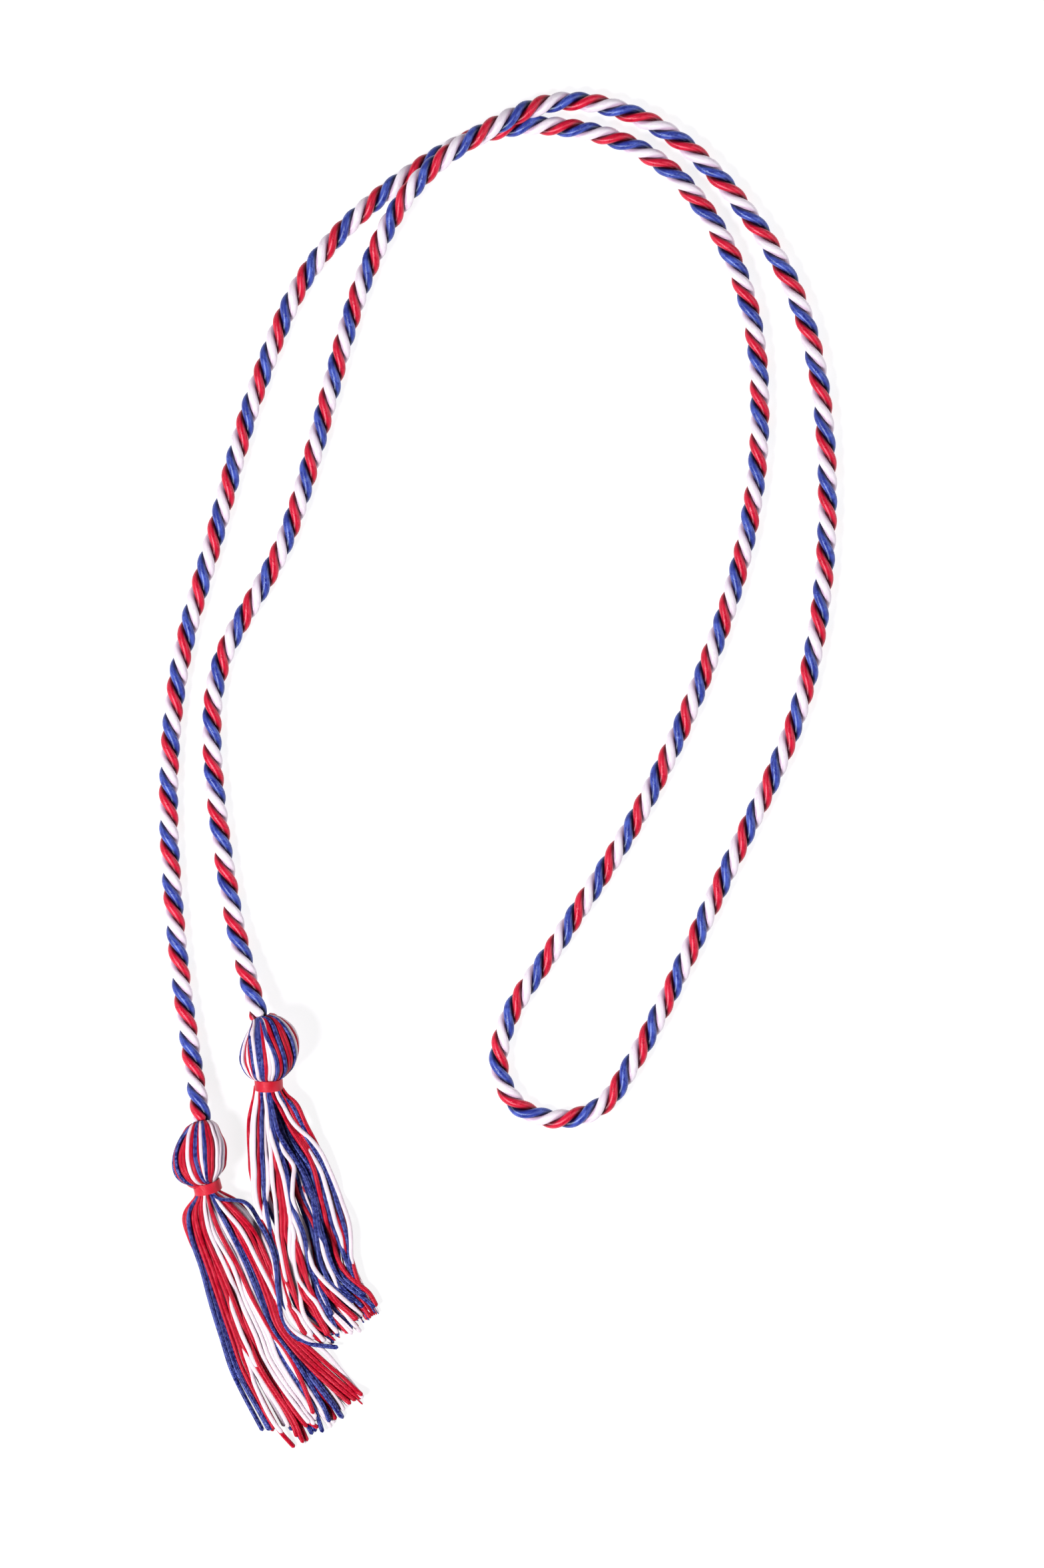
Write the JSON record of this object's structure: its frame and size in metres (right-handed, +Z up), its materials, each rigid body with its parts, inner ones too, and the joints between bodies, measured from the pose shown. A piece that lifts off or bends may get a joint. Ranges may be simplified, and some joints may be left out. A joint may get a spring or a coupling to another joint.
{
  "type": "honor cord",
  "caption": "Long twisted satin rope, doubled into a loose loop, with a round-headed thread tassel on each end, worn over the shoulders at graduation.",
  "frame": {"origin": "centre of the bounding box, on the surface the cord lies on", "axes": "+Z up from the surface, +Y along the loop away from the tassels, +X to the right as seen from above with the tassels nearest"},
  "size_m": [0.2194, 0.4385, 0.0198],
  "materials": {
    "rope": "twisted satin plies in red, white and blue",
    "tassel_left": "chain-stitched satin strands in red, white and blue",
    "tassel_right": "chain-stitched satin strands in red, white and blue",
    "band": "tightly wound satin thread"
  },
  "bodies": {
    "root": {"rope": "rope", "tassel_left": "tassel_left", "tassel_right": "tassel_right", "band_left": "band", "band_right": "band"}
  },
  "joints": []
}
